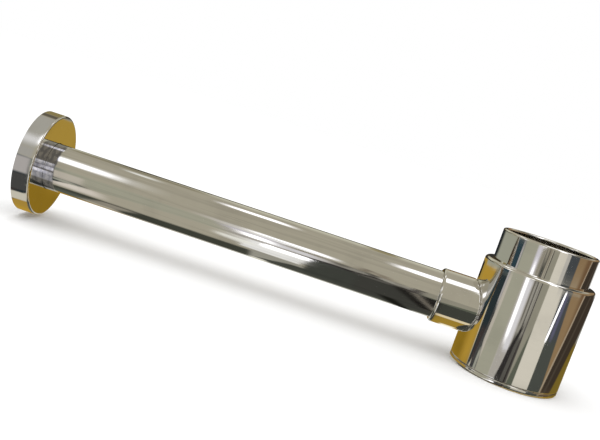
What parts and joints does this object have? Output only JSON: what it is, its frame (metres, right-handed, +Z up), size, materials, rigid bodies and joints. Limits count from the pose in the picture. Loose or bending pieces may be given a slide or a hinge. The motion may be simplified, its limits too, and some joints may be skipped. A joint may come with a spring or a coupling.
{
  "type": "sink trap",
  "caption": "Chromed cup trap for a basin: cylindrical body, head collar round a threaded inlet, straight side pipe and round wall flange.",
  "frame": {"origin": "on the bottle's axis at the inlet's sealing face, where the basin waste's tail meets the union washer", "axes": "+Z up along the bottle's axis, out of the inlet; -X along the waste pipe towards the wall; Y across"},
  "size_m": [0.38, 0.073, 0.0929],
  "materials": {
    "chromed_brass": "mirror polished chrome plate",
    "drawn_chromed_pipe": "chrome plate over faint lengthwise drawing marks",
    "nickelled_brass": "turned brass with a thin nickel plate",
    "plain_brass": "unplated brass",
    "black_rubber": "moulded rubber",
    "white_nylon": "plain nylon"
  },
  "bodies": {
    "body": {"trap_body": "chromed_brass", "neck_ring": "plain_brass", "base_ring": "plain_brass", "outlet_socket": "chromed_brass", "outlet_seal_outer": "black_rubber", "outlet_seal_inner": "black_rubber"},
    "insert": {"head_plate": "plain_brass", "head_gasket": "black_rubber", "dip_tube": "plain_brass", "union_washer": "black_rubber", "slip_ring": "white_nylon"},
    "collar": {"head_collar": "chromed_brass"},
    "union": {"union_nut": "nickelled_brass"},
    "cup": {"weir_cup": "plain_brass"},
    "cap": {"base_cap": "chromed_brass", "base_seal": "black_rubber"},
    "pipe": {"waste_pipe": "drawn_chromed_pipe"},
    "flange": {"wall_flange": "chromed_brass", "flange_seal": "black_rubber"}
  },
  "joints": [
    {"name": "insert_lift", "type": "slide", "parent": "body", "child": "insert", "axis": [0, 0, 1], "range_m": [0, 0.00901]},
    {"name": "collar_turn", "type": "hinge", "parent": "insert", "child": "collar", "pos_m": [0, 0, 0], "axis": [0, 0, 1], "range_deg": [0, 1620]},
    {"name": "union_turn", "type": "hinge", "parent": "insert", "child": "union", "pos_m": [0, 0, 0], "axis": [0, 0, 1], "continuous": true},
    {"name": "cup_drop", "type": "slide", "parent": "body", "child": "cup", "axis": [0, 0, -1], "range_m": [0, 0.00801]},
    {"name": "cap_turn", "type": "hinge", "parent": "cup", "child": "cap", "pos_m": [0, 0, -0.0732], "axis": [0, 0, -1], "range_deg": [0, 1440]},
    {"name": "pipe_slide", "type": "slide", "parent": "body", "child": "pipe", "axis": [-1, 0, 0], "range_m": [-0.0065, 0.0065]},
    {"name": "flange_slide", "type": "slide", "parent": "pipe", "child": "flange", "axis": [1, 0, 0], "range_m": [0, 0.262]}
  ],
  "couplings": [
    {"joint": "insert_lift", "follows": "collar_turn", "m_per_rad": 0.00031831},
    {"joint": "cup_drop", "follows": "cap_turn", "m_per_rad": 0.00031831}
  ]
}
